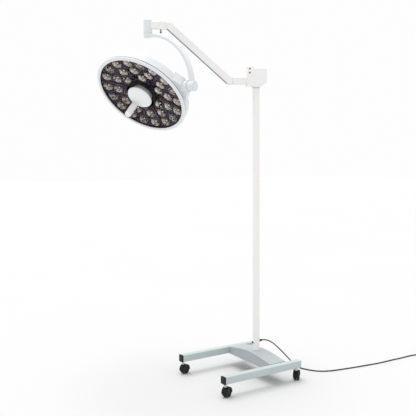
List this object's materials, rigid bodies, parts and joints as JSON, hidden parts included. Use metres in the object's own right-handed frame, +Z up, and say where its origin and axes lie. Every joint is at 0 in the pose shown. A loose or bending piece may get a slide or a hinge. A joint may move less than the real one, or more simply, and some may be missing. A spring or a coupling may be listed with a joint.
{
  "type": "surgical light",
  "caption": "Mobile surgical light on a wheeled stand, with a column, a spring arm that keeps its front level, a single-sided yoke and a round tilting head with a pull-off handle.",
  "frame": {"origin": "the column's axis at floor level, under the wheels' treads", "axes": "+Z is up along the column; the legs run along X with their front ends, under the light's reach, towards -X; Y runs across the base"},
  "size_m": [2.0537, 0.868, 1.9819],
  "materials": {
    "leg_paint": "satin powder coat",
    "column_paint": "satin powder coat",
    "hub_plastic": "satin moulded plastic",
    "arm_paint": "smooth satin paint",
    "arm_plastic": "satin moulded plastic",
    "grey_plastic": "fine grained moulded plastic",
    "black_plastic": "fine grained moulded plastic",
    "black_rubber": "matt moulded rubber",
    "tread": "matt polyurethane tread",
    "steel": "turned and zinc plated",
    "dark_steel": "black oxide",
    "cast_iron": "as cast",
    "bronze": "sintered bronze, oiled",
    "potting": "potting resin",
    "shell_paint": "smooth painted plastic",
    "bezel_plastic": "smooth moulded plastic",
    "clear_cover": "clear hard coated sheet",
    "carrier_plastic": "dark violet moulded plastic",
    "mirror_metal": "polished and warm anodised",
    "phosphor": "yellow phosphor window",
    "board": "bead blasted",
    "dome_plastic": "smooth moulded plastic",
    "handle_plastic": "autoclavable moulded plastic",
    "cord_jacket": "smooth matt jacket"
  },
  "bodies": {
    "stand": {"left_leg": "leg_paint", "right_leg": "leg_paint", "leg_front_caps": "black_plastic", "leg_rear_caps": "leg_paint", "caster_sockets": "column_paint", "hub_cover": "hub_plastic", "cross_beam": "leg_paint", "counterweights": "cast_iron", "column_socket": "steel", "socket_bolts": "steel", "column_tube": "column_paint", "switch_bezel": "black_plastic", "cable_gland": "black_rubber", "power_supply": "potting", "swivel_shaft": "steel", "power_cord": "cord_jacket", "cord_coil": "cord_jacket", "mains_plug": "black_rubber"},
    "power_button": {"power_button": "black_plastic"},
    "arm_hub": {"column_head": "arm_paint", "column_bushes": "bronze", "arm_root": "arm_paint", "hub_screws": "dark_steel"},
    "spring_arm": {"arm_beam": "steel", "arm_upper_cover": "arm_plastic", "arm_lower_cover": "grey_plastic", "arm_spring": "dark_steel", "arm_pins": "steel"},
    "parallel_link": {"parallel_rod": "steel"},
    "front_block": {"knuckle_block": "arm_paint", "knuckle_collar": "arm_paint", "bearing_housing": "arm_paint", "yoke_bearings": "steel"},
    "lock_screw": {"lock_screw": "dark_steel"},
    "yoke": {"yoke_spindle": "steel", "yoke_arm": "arm_paint", "yoke_end_cap": "arm_plastic", "tilt_shaft": "steel"},
    "light_head": {"head_shell": "shell_paint", "pivot_housing": "arm_paint", "tilt_bushes": "bronze", "front_bezel": "bezel_plastic", "bezel_seal": "black_rubber", "front_cover": "clear_cover", "lens_carrier": "carrier_plastic", "reflectors": "mirror_metal", "led_chips": "phosphor", "led_board": "board", "recess_ring": "black_plastic", "centre_dome": "dome_plastic", "handle_spigot": "steel"},
    "handle": {"handle": "handle_plastic"},
    "caster_front_left": {"caster_fork_front_left": "black_plastic"},
    "wheels_front_left": {"caster_wheels_front_left": "tread"},
    "caster_front_right": {"caster_fork_front_right": "black_plastic"},
    "wheels_front_right": {"caster_wheels_front_right": "tread"},
    "caster_rear_left": {"caster_fork_rear_left": "black_plastic"},
    "wheels_rear_left": {"caster_wheels_rear_left": "tread"},
    "caster_rear_right": {"caster_fork_rear_right": "black_plastic"},
    "wheels_rear_right": {"caster_wheels_rear_right": "tread"}
  },
  "joints": [
    {"name": "column_swivel", "type": "hinge", "parent": "stand", "child": "arm_hub", "pos_m": [0, 0, 1.6685], "axis": [0, 0, 1], "range_deg": [-170, 170]},
    {"name": "arm_lift", "type": "hinge", "parent": "arm_hub", "child": "spring_arm", "pos_m": [-0.14082, 0.06477, 1.653], "axis": [0.4179, 0.9085, 0], "range_deg": [-70, 2]},
    {"name": "link_swing", "type": "hinge", "parent": "arm_hub", "child": "parallel_link", "pos_m": [-0.14416, 0.0575, 1.64], "axis": [0.4179, 0.9085, 0], "range_deg": [-70, 2]},
    {"name": "knuckle_level", "type": "hinge", "parent": "spring_arm", "child": "front_block", "pos_m": [-0.44885, 0.20645, 1.95191], "axis": [0.4179, 0.9085, 0], "range_deg": [-2, 70]},
    {"name": "lock_screw_turn", "type": "hinge", "parent": "front_block", "child": "lock_screw", "pos_m": [-0.49064, 0.22567, 1.92191], "axis": [0, 0, 1], "range_deg": [-180, 180]},
    {"name": "yoke_swivel", "type": "hinge", "parent": "front_block", "child": "yoke", "pos_m": [-0.55605, 0.25576, 1.90841], "axis": [0, 0, 1], "range_deg": [-170, 170]},
    {"name": "head_tilt", "type": "hinge", "parent": "yoke", "child": "light_head", "pos_m": [-0.45631, -0.00159, 1.59741], "axis": [0.3614, -0.9324, 0], "range_deg": [-77, 88]},
    {"name": "handle_pull", "type": "slide", "parent": "light_head", "child": "handle", "axis": [-0.638, -0.2473, -0.7292], "range_m": [0, 0.07]},
    {"name": "power_press", "type": "slide", "parent": "stand", "child": "power_button", "axis": [1, 0, 0], "range_m": [0, 0.0015], "stiffness_N_per_m": 600},
    {"name": "caster_swivel_front_left", "type": "hinge", "parent": "stand", "child": "caster_front_left", "pos_m": [-0.355, -0.212, 0.06], "axis": [0, 0, 1], "continuous": true},
    {"name": "wheel_roll_front_left", "type": "hinge", "parent": "caster_front_left", "child": "wheels_front_left", "pos_m": [-0.34295, -0.20713, 0.0255], "axis": [-0.3746, 0.9272, 0], "continuous": true},
    {"name": "caster_swivel_front_right", "type": "hinge", "parent": "stand", "child": "caster_front_right", "pos_m": [-0.355, 0.212, 0.06], "axis": [0, 0, 1], "continuous": true},
    {"name": "wheel_roll_front_right", "type": "hinge", "parent": "caster_front_right", "child": "wheels_front_right", "pos_m": [-0.34264, 0.21602, 0.0255], "axis": [-0.309, 0.9511, 0], "continuous": true},
    {"name": "caster_swivel_rear_left", "type": "hinge", "parent": "stand", "child": "caster_rear_left", "pos_m": [0.114, -0.212, 0.06], "axis": [0, 0, 1], "continuous": true},
    {"name": "wheel_roll_rear_left", "type": "hinge", "parent": "caster_rear_left", "child": "wheels_rear_left", "pos_m": [0.12424, -0.204, 0.0255], "axis": [-0.6157, 0.788, 0], "continuous": true},
    {"name": "caster_swivel_rear_right", "type": "hinge", "parent": "stand", "child": "caster_rear_right", "pos_m": [0.114, 0.212, 0.06], "axis": [0, 0, 1], "continuous": true},
    {"name": "wheel_roll_rear_right", "type": "hinge", "parent": "caster_rear_right", "child": "wheels_rear_right", "pos_m": [0.12568, 0.2177, 0.0255], "axis": [-0.4384, 0.8988, 0], "continuous": true}
  ],
  "couplings": [
    {"joint": "link_swing", "follows": "arm_lift", "ratio": 1},
    {"joint": "knuckle_level", "follows": "arm_lift", "ratio": -1}
  ]
}
